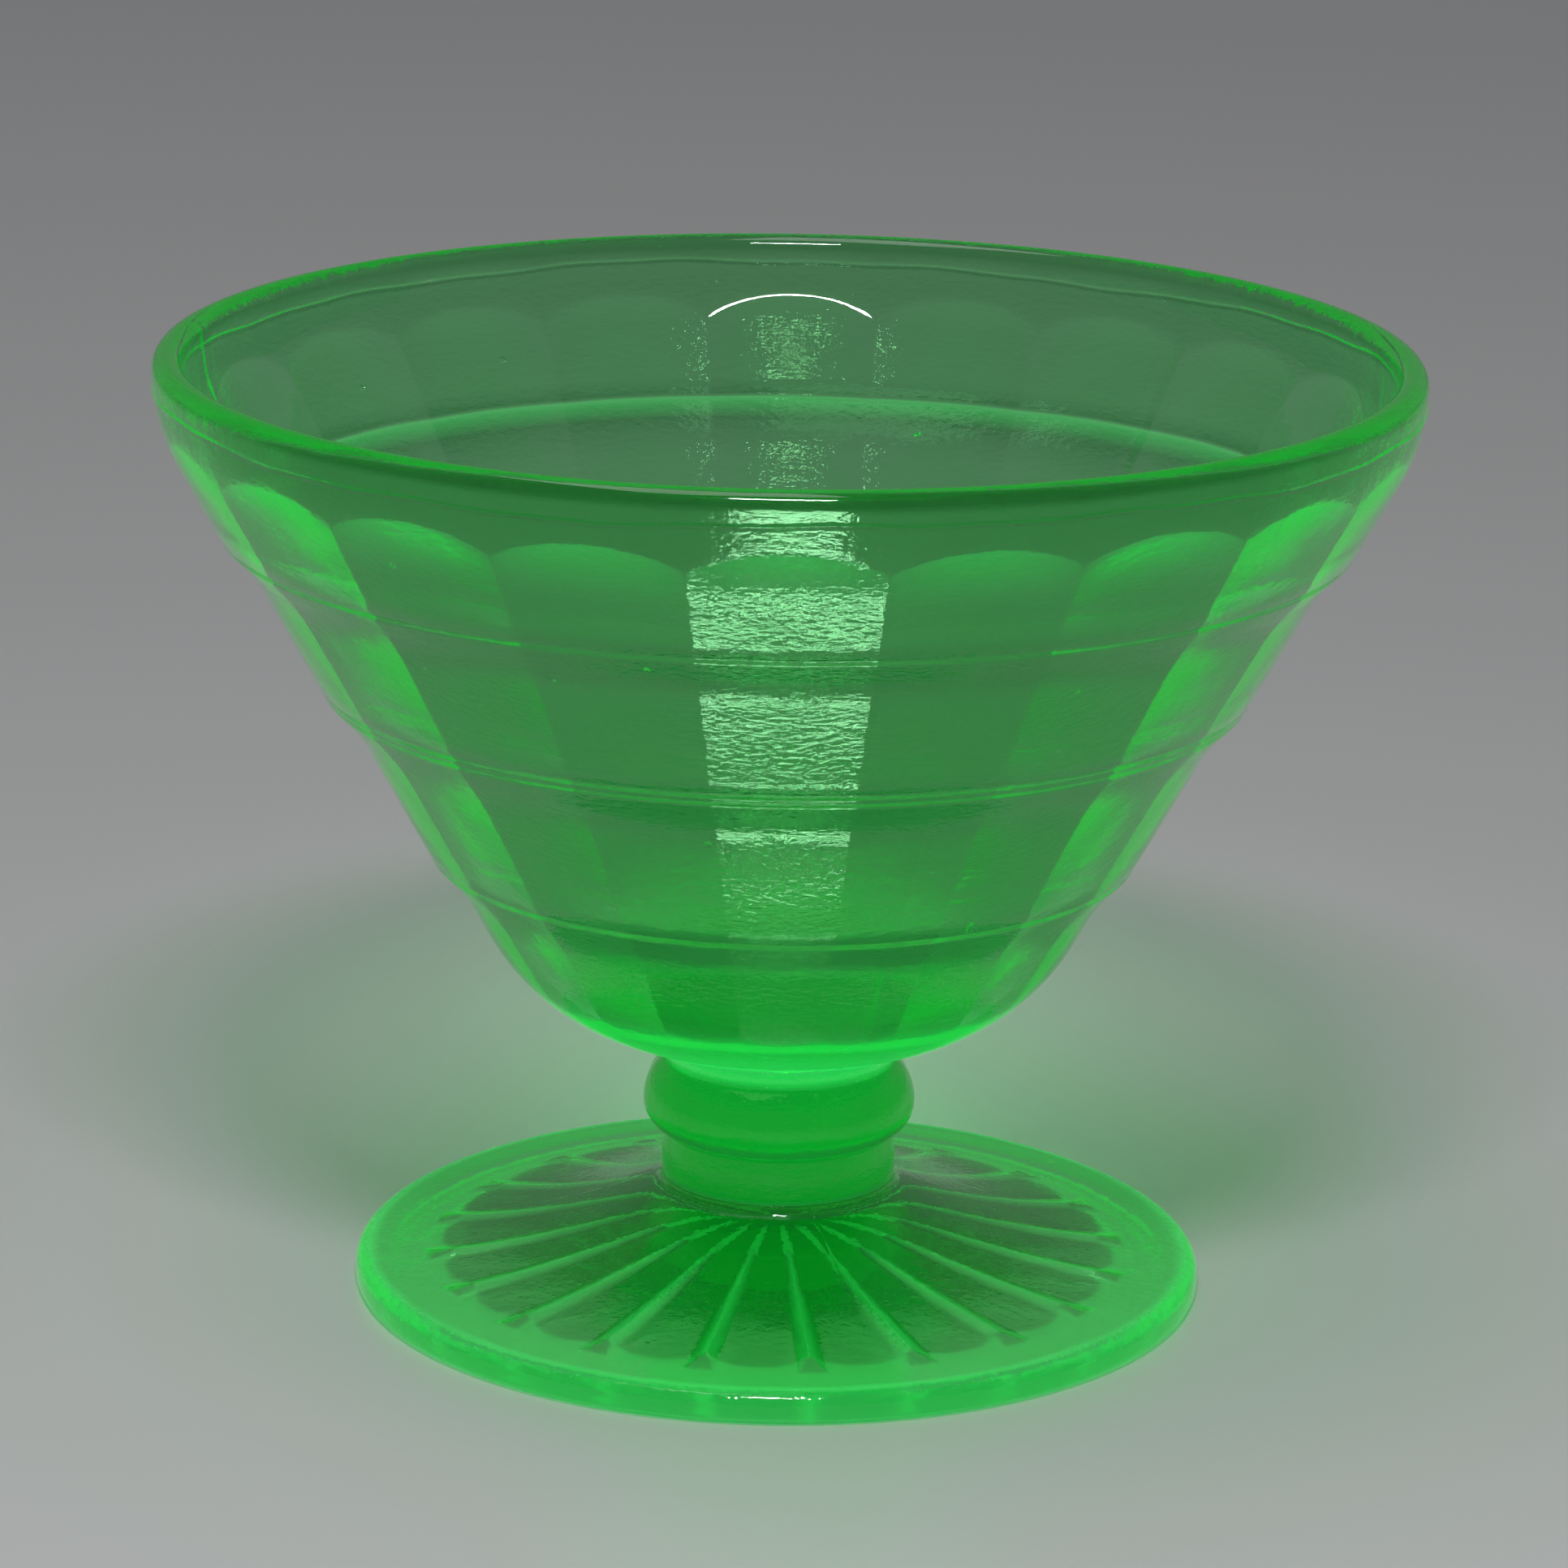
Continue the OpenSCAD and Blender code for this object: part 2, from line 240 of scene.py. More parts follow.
def green_glass(name, glow_per_metre):
    """Pressed uranium glass: clear, tinted green and glowing green all through its depth, with
    the orange-peel skin of the mould outside. Gives the glass and the glass of its joints."""
    material = bpy.data.materials.new("uranium_glass_" + name)
    material.use_nodes = True
    tree = material.node_tree
    tree.nodes.clear()
    new, link = tree.nodes.new, tree.links.new

    place = new("ShaderNodeTexCoord")
    mould = new("ShaderNodeAttribute")
    mould.attribute_name = "mould_side"
    skin = new("ShaderNodeGroup")
    skin.node_tree = skin_group
    skin.inputs["Peel scale"].default_value = 1100
    skin.inputs["Most haze"].default_value = 0.07
    link(place.outputs["Object"], skin.inputs["Place"])
    link(mould.outputs["Fac"], skin.inputs["Mould side"])
    bump = new("ShaderNodeBump")
    bump.inputs["Strength"].default_value = 1
    bump.inputs["Distance"].default_value = 0.00005
    link(skin.outputs["Height"], bump.inputs["Height"])

    # painted glow: emission painted on the surface at the pressed rays and edges, standing for
    # light that gathers there in the glass, at some only as seen through the glass
    painted_glow = new("ShaderNodeAttribute")
    painted_glow.attribute_name = "painted_glow"
    painted_glow_colour = new("ShaderNodeMix")
    painted_glow_colour.data_type = "RGBA"
    painted_glow_colour.inputs[6].default_value = (0.0002, 0.004, 0.0006, 1)
    painted_glow_colour.inputs[7].default_value = (0.016, 0.23, 0.055, 1)
    inside = new("ShaderNodeAttribute")
    inside.attribute_name = "painted_glow_inside"
    side = new("ShaderNodeNewGeometry")
    painted_glow_amount = new("ShaderNodeMath")
    painted_glow_amount.operation = "MULTIPLY_ADD"
    link(inside.outputs["Fac"], painted_glow_amount.inputs[0])
    link(side.outputs["Backfacing"], painted_glow_amount.inputs[1])
    link(painted_glow.outputs["Fac"], painted_glow_amount.inputs[2])
    link(painted_glow_amount.outputs[0], painted_glow_colour.inputs[0])

    # the rim's round is coloured a deeper green than the wall
    deep = new("ShaderNodeAttribute")
    deep.attribute_name = "deep"
    body = new("ShaderNodeMix")
    body.data_type = "RGBA"
    body.inputs[6].default_value = (0.34, 0.64, 0.39, 1)
    body.inputs[7].default_value = (0.10, 0.30, 0.13, 1)
    link(deep.outputs["Fac"], body.inputs[0])

    glass = new("ShaderNodeBsdfPrincipled")
    link(body.outputs[2], glass.inputs["Base Color"])
    glass.inputs["Metallic"].default_value = 0
    glass.inputs["IOR"].default_value = 1.5
    glass.inputs["Transmission Weight"].default_value = 1
    glass.inputs["Emission Strength"].default_value = 1
    link(painted_glow_colour.outputs[2], glass.inputs["Emission Color"])
    link(skin.outputs["Roughness"], glass.inputs["Roughness"])
    link(bump.outputs[0], glass.inputs["Normal"])

    tint = new("ShaderNodeVolumeAbsorption")
    tint.inputs["Color"].default_value = (0.15, 0.75, 0.25, 1)
    tint.inputs["Density"].default_value = 140
    glow = new("ShaderNodeEmission")
    glow.inputs["Color"].default_value = (0.02, 1.0, 0.20, 1)
    glow.inputs["Strength"].default_value = glow_per_metre
    depth = new("ShaderNodeAddShader")
    link(tint.outputs[0], depth.inputs[0])
    link(glow.outputs[0], depth.inputs[1])

    # lamps shine through the glass on to the floor, tinted
    through = new("ShaderNodeBsdfTransparent")
    through.inputs["Color"].default_value = (0.45, 0.72, 0.50, 1)
    path = new("ShaderNodeLightPath")
    mix = new("ShaderNodeMixShader")
    link(path.outputs["Is Shadow Ray"], mix.inputs[0])
    link(glass.outputs[0], mix.inputs[1])
    link(through.outputs[0], mix.inputs[2])
    out = new("ShaderNodeOutputMaterial")
    link(mix.outputs[0], out.inputs["Surface"])
    link(depth.outputs[0], out.inputs["Volume"])

    # the fused joint between two sections shows nothing: it is clear, with the same depth
    joint = material.copy()
    joint.name = "uranium_glass_joint_" + name
    tree = joint.node_tree
    out = next(n for n in tree.nodes if n.type == "OUTPUT_MATERIAL")
    clear = tree.nodes.new("ShaderNodeBsdfTransparent")
    tree.links.new(clear.outputs[0], out.inputs["Surface"])
    return material, joint


# Outer wall, from the neck crease up to the rim, with corners as (r, z): each ring's edge, and
# the waist that it steps out from
RING_TOP, WAIST_TOP = (44.93, 62.9), (42.53, 60.4)
RING_MID, WAIST_MID = (36.76, 49.9), (34.36, 47.4)
RING_LOW, WAIST_LOW = (28.26, 36.3), (25.86, 33.8)
WALL_END, BARREL_END = (23.77, 30.01), (48.23, 68.91)
BOTTOM_C, BOTTOM_R = (8.87, 38.2), 17
NECK_C, NECK_ROUND = (11.1, 19.53), 1.8
BARREL_C, BARREL_R = (35.7, 75.8), 14.3
RIM_C, RIM_ROUND = (48.8, 75.8), 1.2
WALL_LEAN = 28.8

# How far the soft corners reach at a waist and at a ring's edge
WAIST_REACH, RING_REACH = 1.8, 0.14
# Fine lines cut over each ring edge, at these heights over it; the middle ring has two
LINE_DEPTH, LINE_HALF = 0.12, 0.2
LINES_UP, LINES_UP_MID = (0.45,), (0.45, 1.25)


def on_wall(ring, up, deep):
    """A point this far up the leaning wall from a ring edge, and this deep in it."""
    lean = math.radians(WALL_LEAN)
    return (ring[0] + up * math.sin(lean) - deep * math.cos(lean),
            ring[1] + up * math.cos(lean) + deep * math.sin(lean))


bottom_low = math.degrees(math.atan2(NECK_C[1] - BOTTOM_C[1], NECK_C[0] - BOTTOM_C[0]))
crease = CREASE_Z + JOINT_GAP
outer = [(0, crease), (NECK_R * 0.5, crease), (NECK_R, crease)]
outer += arc(NECK_C, NECK_ROUND, 180, 180 + bottom_low + 0.01, 8)
outer += arc(BOTTOM_C, BOTTOM_R, bottom_low, -WALL_LEAN, 16)[1:]
# two points up the straight wall, short of the lowest waist's soft corner
outer += straight(WALL_END, WAIST_LOW, 4)[:2]
for waist, ring, above in ((WAIST_LOW, RING_LOW, WAIST_MID), (WAIST_MID, RING_MID, WAIST_TOP),
                           (WAIST_TOP, RING_TOP, BARREL_END)):
    below = outer[-1]
    outer += eased(below, waist, ring, WAIST_REACH, 8)
    outer += eased(waist, ring, above, RING_REACH, 4)
    for up in LINES_UP_MID if ring == RING_MID else LINES_UP:
        outer += [on_wall(ring, up - LINE_HALF, 0), on_wall(ring, up, LINE_DEPTH),
                  on_wall(ring, up + LINE_HALF, 0)]
    if above != BARREL_END:
        # the points stop short of where the next waist's soft corner starts
        outer += [p for p in straight(outer[-1], above, 8) if p[1] < above[1] - 2.0]
outer += straight(outer[-1], BARREL_END, 4) + [BARREL_END]

# The barrel curve has close rows where the thin wavy line of the mould runs round it. Each wave
# of that line is its height, how many go round the bowl, and where it starts.
MOULD_LINE_Z, MOULD_LINE_RISE, MOULD_LINE_HALF = 74.3, 0.11, 0.13
MOULD_LINE_WAVES = ((0.22, 4, 0.6), (0.12, 11, 0), (0.06, 29, 1.0))
WIDE_ROWS, CLOSE_ROWS, CLOSE_FROM = 1.6, 0.42, -9.2
barrel_turns = [-WALL_LEAN + WIDE_ROWS * i for i in range(1, 13)]
barrel_turns += [CLOSE_FROM + CLOSE_ROWS * i for i in range(16)] + [-2.2, -1.5, -0.8, 0]
outer += [on_circle(BARREL_C, BARREL_R, turn) for turn in barrel_turns]
RIM_INSIDE = 171.5
outer += arc(RIM_C, RIM_ROUND, 0, RIM_INSIDE, 22)[1:]

# Inner wall, from the rim down to the floor of the bowl: mouth, bend, cone, corner and floor
MOUTH_LEAN, PANEL_LEAN = 8.5, 32.6
MOUTH_TOP, MOUTH_END = (47.66, 75.97), (47.27, 73.37)
BEND_C, BEND_R = (36.39, 75.0), 11
CONE_TOP, CONE_END = (45.66, 69.07), (19.88, 28.77)
CORNER_C, CORNER_R = (14.83, 32.0), 6
FLOOR_Z = 26.0
PANEL_SLOPE = math.tan(math.radians(PANEL_LEAN))
PANEL_R = 45.02
CREASE_ROUND = 0.10


def round_wall(z):
    """Radius of the round inner wall at a height."""
    if z > MOUTH_END[1]:
        return MOUTH_END[0] + (z - MOUTH_END[1]) * math.tan(math.radians(MOUTH_LEAN))
    if z > CONE_TOP[1]:
        return BEND_C[0] + math.sqrt(BEND_R ** 2 - (z - BEND_C[1]) ** 2)
    if z > CONE_END[1]:
        return CONE_TOP[0] + (z - CONE_TOP[1]) * PANEL_SLOPE
    return CORNER_C[0] + math.sqrt(max(0, CORNER_R ** 2 - (z - CORNER_C[1]) ** 2))


def panel_wall(z, turn):
    """Distance of a flat panel from the axis, this many degrees from the panel's middle."""
    return (PANEL_R + (z - CONE_TOP[1]) * PANEL_SLOPE) / math.cos(math.radians(turn))


def arch_height(turn):
    """Height of a panel's arched top edge, this many degrees from the panel's middle."""
    low, high = CONE_TOP[1], MOUTH_TOP[1]
    for _ in range(40):
        middle = (low + high) / 2
        if round_wall(middle) > panel_wall(middle, turn):
            low = middle
        else:
            high = middle
    return low


# Painted glow under each arch, down to this far below it, fading towards its two ends: it stands
# for light that gathers there in the glass
ARCH_LIT_H, ARCH_LIT, ARCH_LIT_FADE, ARCH_LIT_TURN = 4.6, 0.9, 1.3, 8.5


def arch_painted_glow(below, turn):
    """How bright the glow painted this far below a panel's arched top edge is."""
    if below < 0.02:
        return 0
    fade = max(0, 1 - below / ARCH_LIT_H)
    return ARCH_LIT * fade ** ARCH_LIT_FADE * math.cos(math.radians(turn * ARCH_LIT_TURN))


# rows above and below the arch crowd towards it, and follow it round the bowl
ARCH_Z, ARCH_FOOT = 71.5, 62.0
crowd = (0.06, 0.13, 0.22, 0.36, 0.6, 1.0, 1.6)
heights = [ARCH_Z + d for d in (3.4, 2.4) + crowd[::-1] + (0,)]
heights += [ARCH_Z - d for d in crowd + (2.6, 4.0, 6.0)]
# then down the cone, and close together round the corner
heights += [ARCH_FOOT, 58, 54, 50, 46, 42, 38, 35, 33, 31.5, 30.5, 29.8, 29.3, 29.0]
heights += [28.8, 28.6, 28.4, 28.2, 28.0, 27.8, 27.6, 27.4, 27.1, 26.8, 26.5, 26.25, 26.08]
inner = [(round_wall(z), z) for z in heights]
floor = [(r, FLOOR_Z) for r in (CORNER_C[0], 12.5, 9, 5, 2, 0)]

bowl_outline = outer + inner + floor
bowl_skins = [0, 0] + [1] * (len(outer) - 2) + [0] * (len(inner) + len(floor))
bm = turned(bowl_outline, bowl_skins)
row = bm.verts.layers.int["row"]
painted_glow_layer = bm.verts.layers.float["painted_glow"]
painted_glow_inside_layer = bm.verts.layers.float["painted_glow_inside"]
deep = bm.verts.layers.float["deep"]
mould_side = bm.verts.layers.float["mould_side"]
# Glow is painted on the top ring's step and on the thick bottom, standing for light that gathers
# there in the glass; on the bottom it fades out over BOTTOM_FADE
RING_LIT, RING_LIT_Z, RING_LIT_HALF = 1.0, 62.5, 0.65
BOTTOM_LIT, BOTTOM_LIT_TOP, BOTTOM_FADE = 1.0, 28, 6
# Columns inside a panel are spread a little, so that the outermost ones lie near its creases
PANEL_SPREAD = 1.105
# The rim's deeper green comes in from just under its round
DEEP_BELOW, DEEP_OVER = 0.4, 0.6
first_inner = len(outer)
first_floor = len(outer) + len(inner)


def mould_line(degrees):
    """Height of the thin wavy line that the top ring of the mould leaves round the bowl."""
    angle = math.radians(degrees)
    return sum((high * math.sin(count * angle + start)
                for high, count, start in MOULD_LINE_WAVES), MOULD_LINE_Z)


arches = {turn: arch_height(turn) for turn in range(PANEL_HALF + 1)}
for v in bm.verts:
    r, z = v.co.xy.length / MM, v.co.z / MM
    if r < 1e-4:
        continue
    degrees = round(math.degrees(math.atan2(v.co.y, v.co.x))) % 360
    i = v[row]
    if first_inner <= i < first_floor:
        turn = (degrees + PANEL_HALF) % PANEL_TURN - PANEL_HALF
        arch = arches[abs(turn)]
        if z > ARCH_Z:
            z = arch + (z - ARCH_Z) * (MOUTH_TOP[1] - arch) / (MOUTH_TOP[1] - ARCH_Z)
        elif z > ARCH_FOOT:
            z = ARCH_FOOT + (z - ARCH_FOOT) * (arch - ARCH_FOOT) / (ARCH_Z - ARCH_FOOT)
        wide = turn * PANEL_SPREAD if abs(turn) < PANEL_HALF else turn
        r = soft_min(round_wall(z), panel_wall(z, wide), CREASE_ROUND)
        # painted glow under the arch, shown where the surface is seen from inside the glass
        v[painted_glow_inside_layer] = arch_painted_glow(arch - z, turn)
        degrees += wide - turn
    elif 2 < i < first_inner:
        if z > BARREL_END[1] and r > BARREL_C[0] + BARREL_R - 1:
            away = (z - mould_line(degrees)) / MOULD_LINE_HALF
            r += MOULD_LINE_RISE * math.exp(-away ** 2)
        if degrees in SEAMS and z < RIM_C[1]:
            r += SEAM_RISE
        # the rim is fire-polished, with no mark of the mould; from just under its round it is
        # coloured a deeper green
        v[deep] = min(1, max(0, (z - RIM_C[1] + DEEP_BELOW) / DEEP_OVER))
        v[mould_side] = 1 - v[deep]
        # painted glow on the thick bottom and, seen from inside the glass, on the top ring's step
        v[painted_glow_layer] = BOTTOM_LIT * min(1, max(0, (BOTTOM_LIT_TOP - z) / BOTTOM_FADE))
        if abs(z - RING_LIT_Z) < RING_LIT_HALF:
            v[painted_glow_inside_layer] = RING_LIT
        degrees = seam_turn(degrees)
    angle = math.radians(degrees)
    v.co = Vector((r * math.cos(angle), r * math.sin(angle), z)) * MM
finished(bm, "bowl_pressed", "bowl", green_glass("bowl", 20), joint_rows=(0, 1, 2))


# ---------------------------------------------------------------------------------------------
# Knop: the swollen ring of the stem under the bowl. It is solid glass of the same pressing,
# fused to the bowl above and to the collar below at two sharp creases.
# ---------------------------------------------------------------------------------------------

# Its side is one circle above the widest place and a smaller one below
KNOP_R, BELLY_Z = 11.0, 15.3
UPPER_R, LOWER_R = 4.45, 2.48
top = CREASE_Z - JOINT_GAP
bottom = GROOVE_Z + JOINT_GAP
lower_turn = -math.degrees(math.asin((BELLY_Z - bottom) / LOWER_R))
upper_turn = math.degrees(math.asin((top - BELLY_Z) / UPPER_R))
knop_side = arc((KNOP_R - LOWER_R, BELLY_Z), LOWER_R, lower_turn, 0, 14)
knop_side += arc((KNOP_R - UPPER_R, BELLY_Z), UPPER_R, 0, upper_turn, 16)[1:]
knop_outline = [(0, bottom), (JOINT_MID_R, bottom)] + knop_side + [(JOINT_MID_R, top), (0, top)]
knop_skins = [0, 0] + [1] * len(knop_side) + [0, 0]


def seamed(bm, sides):
    """Raises the mould seams on these rows of a round stem piece."""
    row = bm.verts.layers.int["row"]
    for v in bm.verts:
        if v[row] not in sides or v.co.xy.length < 1e-7:
            continue
        degrees = round(math.degrees(math.atan2(v.co.y, v.co.x))) % 360
        r = v.co.xy.length + (SEAM_RISE * MM if degrees in SEAMS else 0)
        angle = math.radians(seam_turn(degrees))
        v.co.x, v.co.y = r * math.cos(angle), r * math.sin(angle)


bm = turned(knop_outline, knop_skins)
last = len(knop_outline) - 1
seamed(bm, range(3, last - 2))
finished(bm, "knop_pressed", "knop", green_glass("knop", 17),
         joint_rows=(0, 1, 2, last - 2, last - 1, last))


# ---------------------------------------------------------------------------------------------
# Collar: the short round post between the knop and the foot. It is solid glass of the same
# pressing, a little swollen above the foot and drawn in at the groove under the knop.
# ---------------------------------------------------------------------------------------------

# It narrows from SWELL below the groove
COLLAR_R, SWELL = 9.45, 1.67
low, high = FOOT_TOP + JOINT_GAP, GROOVE_Z - JOINT_GAP
collar_side = [(COLLAR_R, low), (COLLAR_R, low + 0.7), (COLLAR_R, low + 1.3)]
collar_side += eased((COLLAR_R, low), (COLLAR_R, high - SWELL), (GROOVE_R, high), 0.6)
collar_side += [(GROOVE_R + 0.12, high - 0.65), (GROOVE_R + 0.05, high - 0.25), (GROOVE_R, high)]
collar_outline = ([(0, low), (JOINT_MID_R, low)] + collar_side
                  + [(JOINT_MID_R, high), (0, high)])
collar_skins = [0, 0] + [1] * len(collar_side) + [0, 0]
bm = turned(collar_outline, collar_skins)
last = len(collar_outline) - 1
seamed(bm, range(3, last - 2))
finished(bm, "collar_pressed", "collar", green_glass("collar", 16.5),
         joint_rows=(0, 1, 2, last - 2, last - 1, last))


# ---------------------------------------------------------------------------------------------
# Foot: a round foot that sweeps up to the collar. It is glass of the same pressing, smooth on
# top, with twenty tapering rays pressed as grooves in its hollow underside.
# ---------------------------------------------------------------------------------------------

FOOT_R, EDGE_H, EDGE_ROUND, EDGE_BEVEL = 34.25, 2.7, 1.2, 0.5
# The top sweeps up in one circle to a small fillet at the collar
SWEEP_C, SWEEP_R = (33.1, 54.3), 51.6
SWEEP_IN, SWEEP_OUT = (10.11, 8.13), (33.05, 2.7)
FILLET_C, FILLET_R, FILLET_TURN = (10.65, 9.2), 1.2, 243.5
# Roof of the hollow underneath, and the crests of the rays cut up into it
HOLLOW_R = 31.55
ROOF_OUT, ROOF_IN = (26.95, 0.9), (9.3, 2.8)
CREST_OUT, CREST_IN = (26.05, 1.90), (9.3, 3.15)
# A ray every 18 degrees, the first one 6 degrees round from the front of the dish
RAYS_TURN, RAY_FIRST, FRONT = 18, 6, 270
RAY_HALF_TAN = math.tan(math.radians(49))
# The triangle that closes a ray falls this far over this length
RAY_HIP_SLOPE = (CREST_OUT[1] - 0.45) / 2.7
HIP_END = (28.47, 1.285)
ROOF_SLOPE = (ROOF_IN[1] - ROOF_OUT[1]) / (ROOF_OUT[0] - ROOF_IN[0])
CREST_SLOPE = (CREST_IN[1] - CREST_OUT[1]) / (CREST_OUT[0] - CREST_IN[0])

turn_in = math.degrees(math.atan2(SWEEP_IN[1] - SWEEP_C[1], SWEEP_IN[0] - SWEEP_C[0]))
turn_out = math.degrees(math.atan2(SWEEP_OUT[1] - SWEEP_C[1], SWEEP_OUT[0] - SWEEP_C[0]))
high = FOOT_TOP - JOINT_GAP
under = [(r, ROOF_IN[1]) for r in (0, 3, 4.5, 6, 7.5, 8.6)] + [ROOF_IN]
under += straight(ROOF_IN, ROOF_OUT, 42) + [ROOF_OUT]
under += straight(ROOF_OUT, (HOLLOW_R, 0), 22) + [(HOLLOW_R, 0)]
side = [(FOOT_R - EDGE_BEVEL - 0.1, 0), (FOOT_R - EDGE_BEVEL, 0.05),
        (FOOT_R - 0.1, EDGE_BEVEL - 0.1), (FOOT_R, EDGE_BEVEL + 0.1), (FOOT_R, 1.0)]
side += arc((FOOT_R - EDGE_ROUND, EDGE_H - EDGE_ROUND), EDGE_ROUND, 0, 90, 10)
side += arc(SWEEP_C, SWEEP_R, turn_out, turn_in, 40)[1:]
side += arc(FILLET_C, FILLET_R, FILLET_TURN, 180, 7)[1:-1] + [(COLLAR_R, high)]
foot_outline = under + side + [(JOINT_MID_R, high), (0, high)]
foot_skins = [0.5] * len(under) + [1] * len(side) + [0, 0]


def ray_roof(r, turn):
    """Height of a ray's groove, or of the sloping triangle that closes it, and which it is."""
    across = r * math.tan(math.radians(turn))
    crest = CREST_IN[1] - (r - CREST_IN[0]) * CREST_SLOPE
    groove = crest - abs(across) / RAY_HALF_TAN
    hip = CREST_OUT[1] - (r - CREST_OUT[0]) * RAY_HIP_SLOPE
    return min(groove, hip), hip < groove


# Glow is painted in the rays, in the smooth band outside them and at the edge, standing for light
# that gathers there in the glass. Inside the grooves' ends the rays run on as painted glow alone,
# this many degrees wide either side of the middle.
RAY_LIT, BAND_LIT, EDGE_LIT = 1, 0.85, 0.5
RAY_START, RAY_INNER_HALF = 4, 2
RAY_LIT_FROM, RAY_LIT_OVER, RAY_ROUND = 0.03, 0.12, 0.04
# The band of painted glow reaches this far in beside each ray, as two small horns
BAND_START, BAND_OVER, HORN, HORN_TURN = 27.0, 0.5, 1.4, 6
# Columns keep this far either side of a ray's edge, and of its crest
EDGE_AWAY, CREST_AWAY = 0.14, 0.22
# The seams show on top of the foot, from above its edge's lower part in to a little from the side
SEAM_FROM_Z, SEAM_FROM_SIDE = 0.6, 1


def ray_turn(degrees):
    """Angle from the middle of the nearest ray."""
    return (degrees - RAY_FIRST - FRONT + RAYS_TURN / 2) % RAYS_TURN - RAYS_TURN / 2


def ray_column(turn, r):
    """Draws the columns of a ray to its crest, its two edges and the sides of its end triangle."""
    crest = CREST_IN[1] - (r - CREST_IN[0]) * CREST_SLOPE
    roof = ROOF_IN[1] - (r - ROOF_IN[0]) * ROOF_SLOPE
    if r > ROOF_OUT[0]:
        roof = ROOF_OUT[1] - (r - ROOF_OUT[0]) * ROOF_OUT[1] / (HOLLOW_R - ROOF_OUT[0])
    edge = math.degrees(math.atan((crest - roof) * RAY_HALF_TAN / r))
    if r > HIP_END[0]:
        edge = math.degrees(math.atan(HIP_END[1] / HIP_END[0]))
    reach = min(1, max(0, (r - CREST_OUT[0]) / (HIP_END[0] - CREST_OUT[0])))
    hip = max(CREST_AWAY, min(edge - 0.3, edge * reach))
    places = [0, hip, edge - EDGE_AWAY, edge + EDGE_AWAY]
    places += [edge + EDGE_AWAY + (RAYS_TURN / 2 - edge - EDGE_AWAY) * k / 6
               for k in range(1, 7)]
    return math.copysign(places[round(abs(turn))], turn)


bm = turned(foot_outline, foot_skins)
row = bm.verts.layers.int["row"]
painted_glow_layer = bm.verts.layers.float["painted_glow"]
first_side = len(under)
for v in bm.verts:
    r, z = v.co.xy.length / MM, v.co.z / MM
    i = v[row]
    if r < 1e-4:
        continue
    degrees = round(math.degrees(math.atan2(v.co.y, v.co.x))) % 360
    turn = ray_turn(degrees)
    if ROOF_IN[0] - 0.01 < r and i < first_side - 1:
        wide = ray_column(turn, r)
        ray_z, on_hip = ray_roof(r, wide)
        groove_z = -soft_min(-z, -ray_z, RAY_ROUND)
        # painted glow: in the groove of a ray, and in the band outside the rays
        in_ray = min(1, max(0, (groove_z - z - RAY_LIT_FROM) / RAY_LIT_OVER))
        band_start = BAND_START - HORN * max(0, 1 - abs(wide) / HORN_TURN)
        in_band = min(BAND_LIT, max(0, (r - band_start) / BAND_OVER))
        v[painted_glow_layer] = in_band * (1 - in_ray) + (0 if on_hip else RAY_LIT * in_ray)
        z = groove_z
        angle = math.radians(degrees + wide - turn)
    else:
        on_side = first_side <= i < first_side + len(side) - 1
        if on_side and degrees in SEAMS and z > SEAM_FROM_Z and r < FOOT_R - SEAM_FROM_SIDE:
            r += SEAM_RISE
        angle = math.radians(seam_turn(degrees) if i >= first_side else degrees)
        # painted glow: the rays running on inside the grooves' ends, the band under the edge, and
        # the edge's round
        if i < first_side - 1:
            v[painted_glow_layer] = RAY_LIT if r > RAY_START and abs(turn) <= RAY_INNER_HALF else 0
        elif z < EDGE_BEVEL:
            v[painted_glow_layer] = BAND_LIT
        elif r > FOOT_R - EDGE_ROUND:
            v[painted_glow_layer] = EDGE_LIT
    v.co = Vector((r * math.cos(angle), r * math.sin(angle), z)) * MM
last = len(foot_outline) - 1
finished(bm, "foot_pressed", "foot", green_glass("foot", 5.5),
         joint_rows=(last - 2, last - 1, last))


# ---------------------------------------------------------------------------------------------
# Stand: a plain pale floor under soft studio light, with one small lamp high in front that
# gives the front panel its highlight, and the camera.
# ---------------------------------------------------------------------------------------------

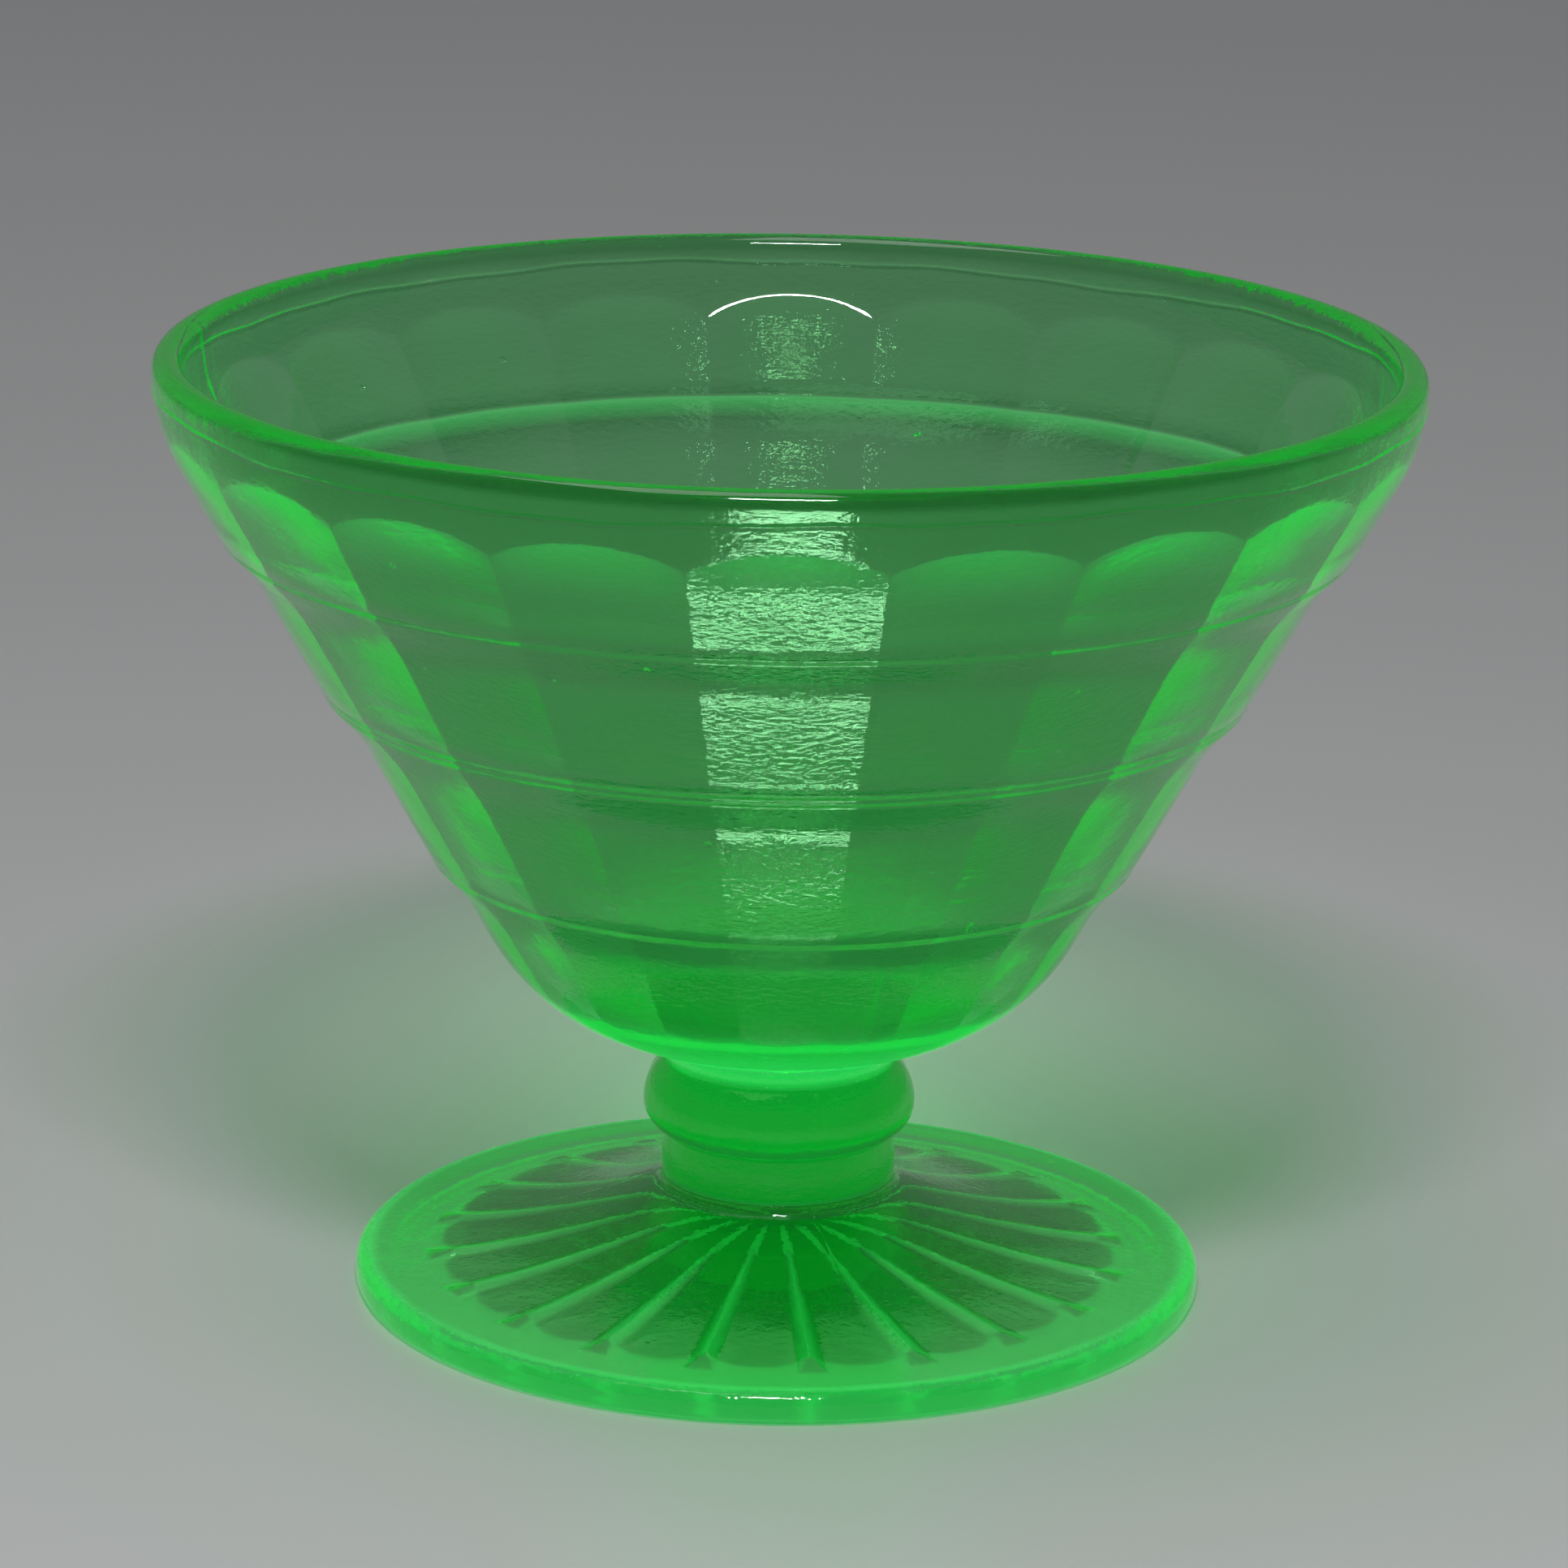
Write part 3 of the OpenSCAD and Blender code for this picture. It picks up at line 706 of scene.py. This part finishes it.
# In metres. The floor is a hair below the foot, so that their faces don't coincide.
FLOOR_HALF, FLOOR_GAP = 6, 0.00002
floor_mesh = bpy.data.meshes.new("floor")
bm = bmesh.new()
bmesh.ops.create_grid(bm, x_segments=1, y_segments=1, size=FLOOR_HALF,
                      matrix=Matrix.Translation((0, 0, -FLOOR_GAP)))
bm.to_mesh(floor_mesh)
bm.free()
floor_piece = bpy.data.objects.new("floor", floor_mesh)
bpy.context.collection.objects.link(floor_piece)
pale = bpy.data.materials.new("pale_floor")
pale.use_nodes = True
pale_shader = pale.node_tree.nodes["Principled BSDF"]
pale_shader.inputs["Base Color"].default_value = (0.62, 0.62, 0.62, 1)
pale_shader.inputs["Roughness"].default_value = 0.32
floor_mesh.materials.append(pale)

world = bpy.data.worlds.new("studio")
world.use_nodes = True
world.node_tree.nodes["Background"].inputs["Color"].default_value = (0.62, 0.63, 0.65, 1)
world.node_tree.nodes["Background"].inputs["Strength"].default_value = 0.26
bpy.context.scene.world = world


def softbox(name, size, place, aim, power):
    """A white rectangular lamp, this wide and high in metres, aimed at a point."""
    lamp = bpy.data.lights.new(name, "AREA")
    lamp.shape = "RECTANGLE"
    lamp.size, lamp.size_y = size
    lamp.energy = power
    holder = bpy.data.objects.new(name, lamp)
    bpy.context.collection.objects.link(holder)
    holder.location = place
    holder.rotation_euler = (Vector(aim) - Vector(place)).to_track_quat("-Z", "Y").to_euler()


softbox("overhead", size=(0.7, 0.6), place=(-0.2, -0.05, 1.3), aim=(0, 0, 0), power=3.2)
softbox("strip", size=(0.11, 0.036), place=(0, -0.290, 0.415), aim=(0, 0.032, 0.04), power=1.0)

# In metres, then degrees down from level, and radians of roll
CAMERA_PLACE, CAMERA_DOWN, CAMERA_ROLL = (0, -0.4943, 0.1797), 15.61, 0.0158
camera_data = bpy.data.cameras.new("camera")
camera_data.sensor_width = 36
camera_data.lens = 147.29
camera_data.clip_start, camera_data.clip_end = 0.01, 30
camera = bpy.data.objects.new("camera", camera_data)
bpy.context.collection.objects.link(camera)
pitch = Matrix.Rotation(math.radians(90 - CAMERA_DOWN), 4, "X")
roll = Matrix.Rotation(CAMERA_ROLL, 4, "Z")
camera.matrix_world = Matrix.Translation(CAMERA_PLACE) @ pitch @ roll
bpy.context.scene.camera = camera

scene = bpy.context.scene
scene.view_settings.view_transform = "Standard"
scene.cycles.max_bounces = 22
scene.cycles.transmission_bounces = 22
scene.cycles.glossy_bounces = 16
scene.cycles.transparent_max_bounces = 24
